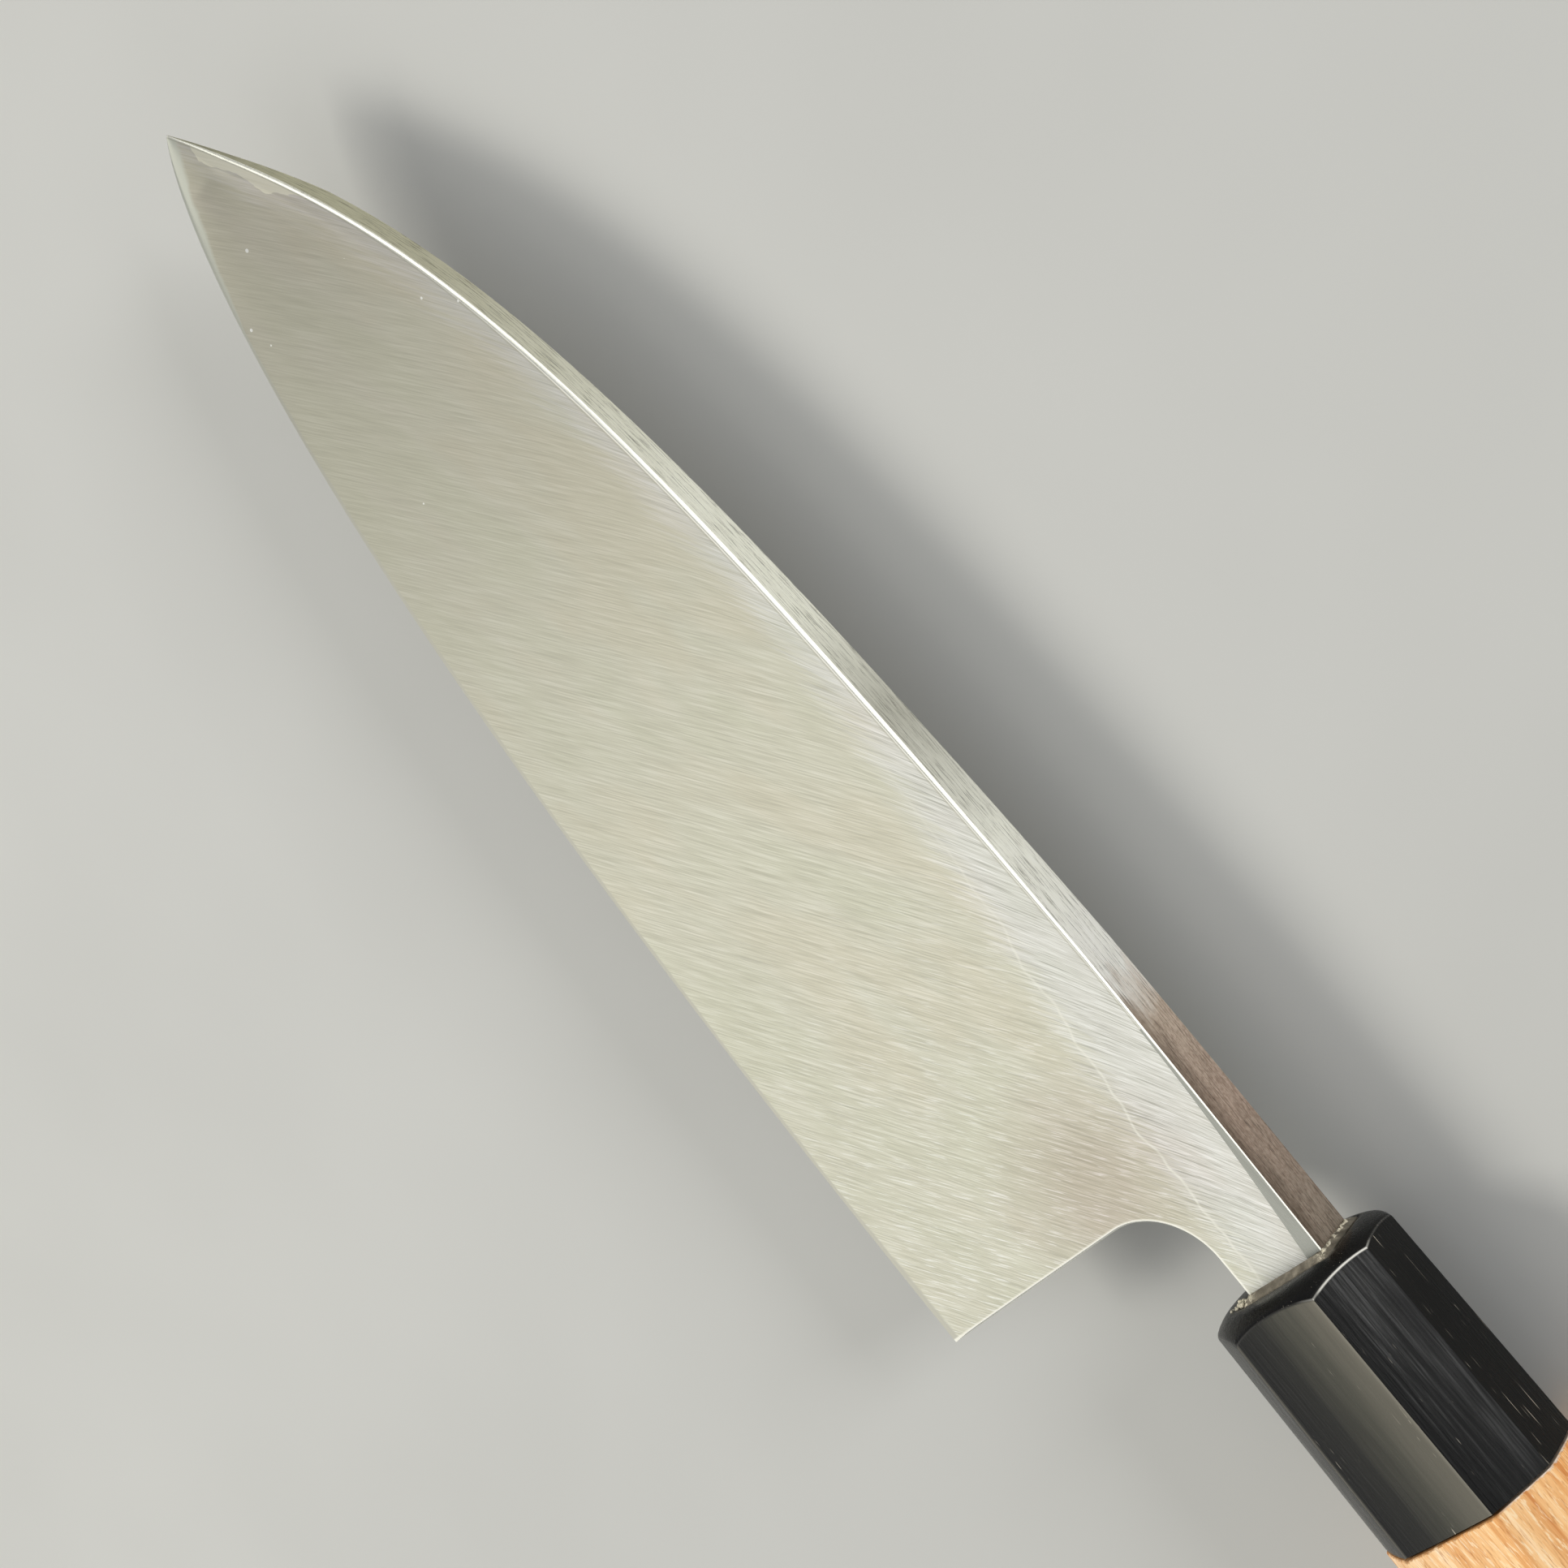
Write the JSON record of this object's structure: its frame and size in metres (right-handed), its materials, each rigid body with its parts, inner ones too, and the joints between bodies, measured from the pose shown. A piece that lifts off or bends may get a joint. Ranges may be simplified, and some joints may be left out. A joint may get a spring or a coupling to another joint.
{
  "type": "deba knife",
  "caption": "Right-handed single-bevel fish knife with a hollow-ground flat back, an arched heel, a hidden tang and an octagonal wooden handle with a black ferrule.",
  "frame": {"origin": "centre of the bounding box's underside, with the knife lying on its side and its flat back up", "axes": "+X from the blade's tip towards the handle's butt, +Y from the cutting edge towards the spine, +Z out of the blade's flat back"},
  "size_m": [0.317, 0.0552, 0.0222],
  "materials": {
    "satin_steel": "satin, ground along fine lines",
    "black_wood": "black stained, smooth satin",
    "grip_wood": "bare, sanded smooth",
    "dowel_wood": "bare, turned",
    "bedding_resin": "hardened resin",
    "neck_filler": "smoothed filler"
  },
  "bodies": {
    "root": {"blade": "satin_steel", "ferrule": "black_wood", "handle_body": "grip_wood", "dowel": "dowel_wood", "tang_bedding": "bedding_resin", "neck_seal": "neck_filler"}
  },
  "joints": []
}
